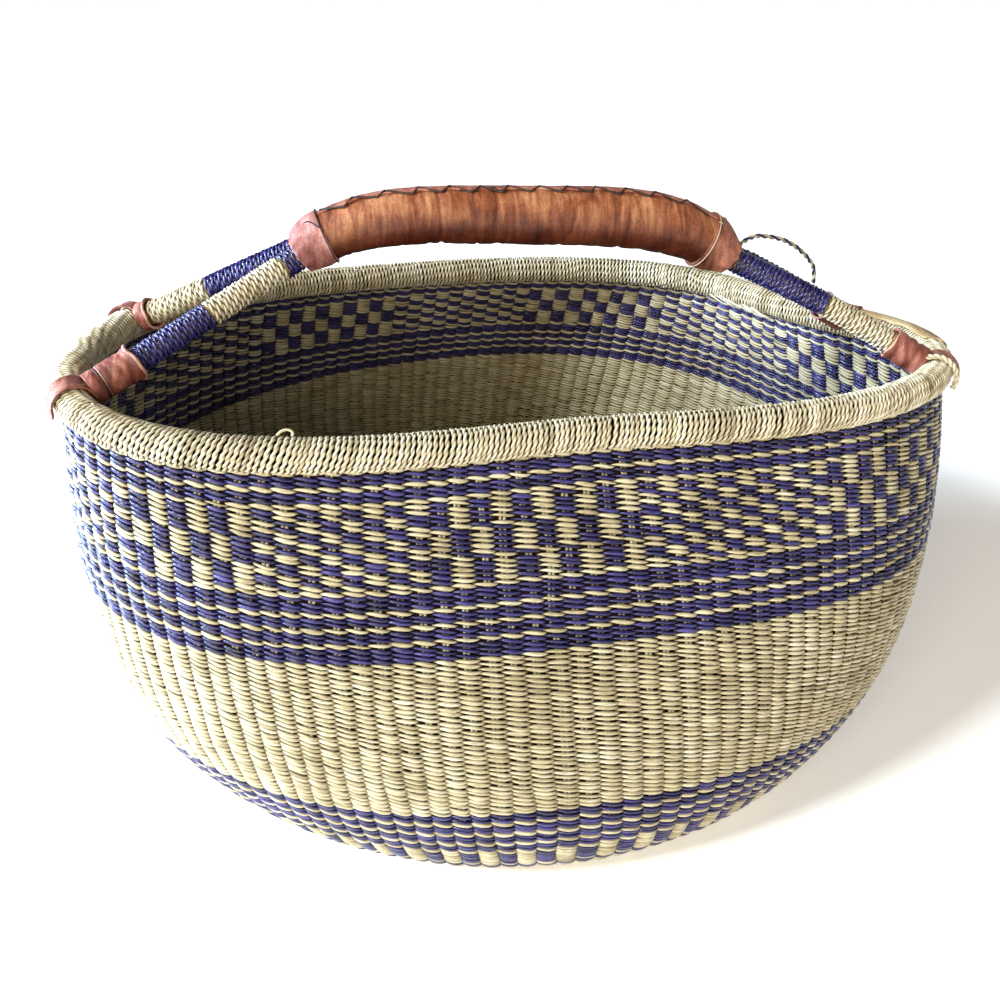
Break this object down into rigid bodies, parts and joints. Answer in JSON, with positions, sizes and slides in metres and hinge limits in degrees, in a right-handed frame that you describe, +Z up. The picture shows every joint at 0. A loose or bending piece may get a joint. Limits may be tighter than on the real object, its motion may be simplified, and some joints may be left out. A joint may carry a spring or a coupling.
{
  "type": "bolga basket",
  "caption": "Round market basket of twined straw with an oval bound mouth and a fixed two-rod handle under a leather grip.",
  "frame": {"origin": "middle of the flat base, on its underside", "axes": "+Z up, +X along the handle from its left feet to its right feet, +Y to the back"},
  "size_m": [0.4412, 0.3889, 0.2851],
  "materials": {
    "woven_straw": "twined straw, natural with violet navy pattern",
    "rim_straw": "twisted straw strands wound round the rim",
    "grass_core": "bundle of dry grass",
    "natural_straw": "twisted natural straw",
    "navy_straw": "twisted straw dyed violet navy, slightly glossy",
    "padding": "straw stuffing",
    "grip_leather": "soft tan brown goat leather, satin",
    "cuff_leather": "reddish brown goat leather, satin",
    "dark_lace": "dark thin leather lace",
    "pale_thread": "waxed thread"
  },
  "bodies": {
    "root": {"woven_body": "woven_straw", "rim_binding": "rim_straw", "rim_core": "grass_core", "handle_rod_front": "grass_core", "handle_rod_back": "grass_core", "front_left_wrap_lower": "navy_straw", "front_left_wrap_middle": "natural_straw", "front_left_wrap_upper": "navy_straw", "back_left_wrap_lower": "natural_straw", "back_left_wrap_upper": "navy_straw", "front_right_wrap_lower": "natural_straw", "front_right_wrap_upper": "navy_straw", "back_right_wrap_lower": "natural_straw", "back_right_wrap_upper": "navy_straw", "grip_padding": "padding", "grip_leather": "grip_leather", "grip_lacing": "dark_lace", "left_collar": "cuff_leather", "right_collar": "cuff_leather", "left_collar_thread": "pale_thread", "right_collar_thread": "pale_thread", "front_left_cuff": "cuff_leather", "back_left_cuff": "cuff_leather", "front_right_cuff": "cuff_leather", "back_right_cuff": "cuff_leather", "rim_cord": "natural_straw", "hanging_loop": "navy_straw"}
  },
  "joints": []
}
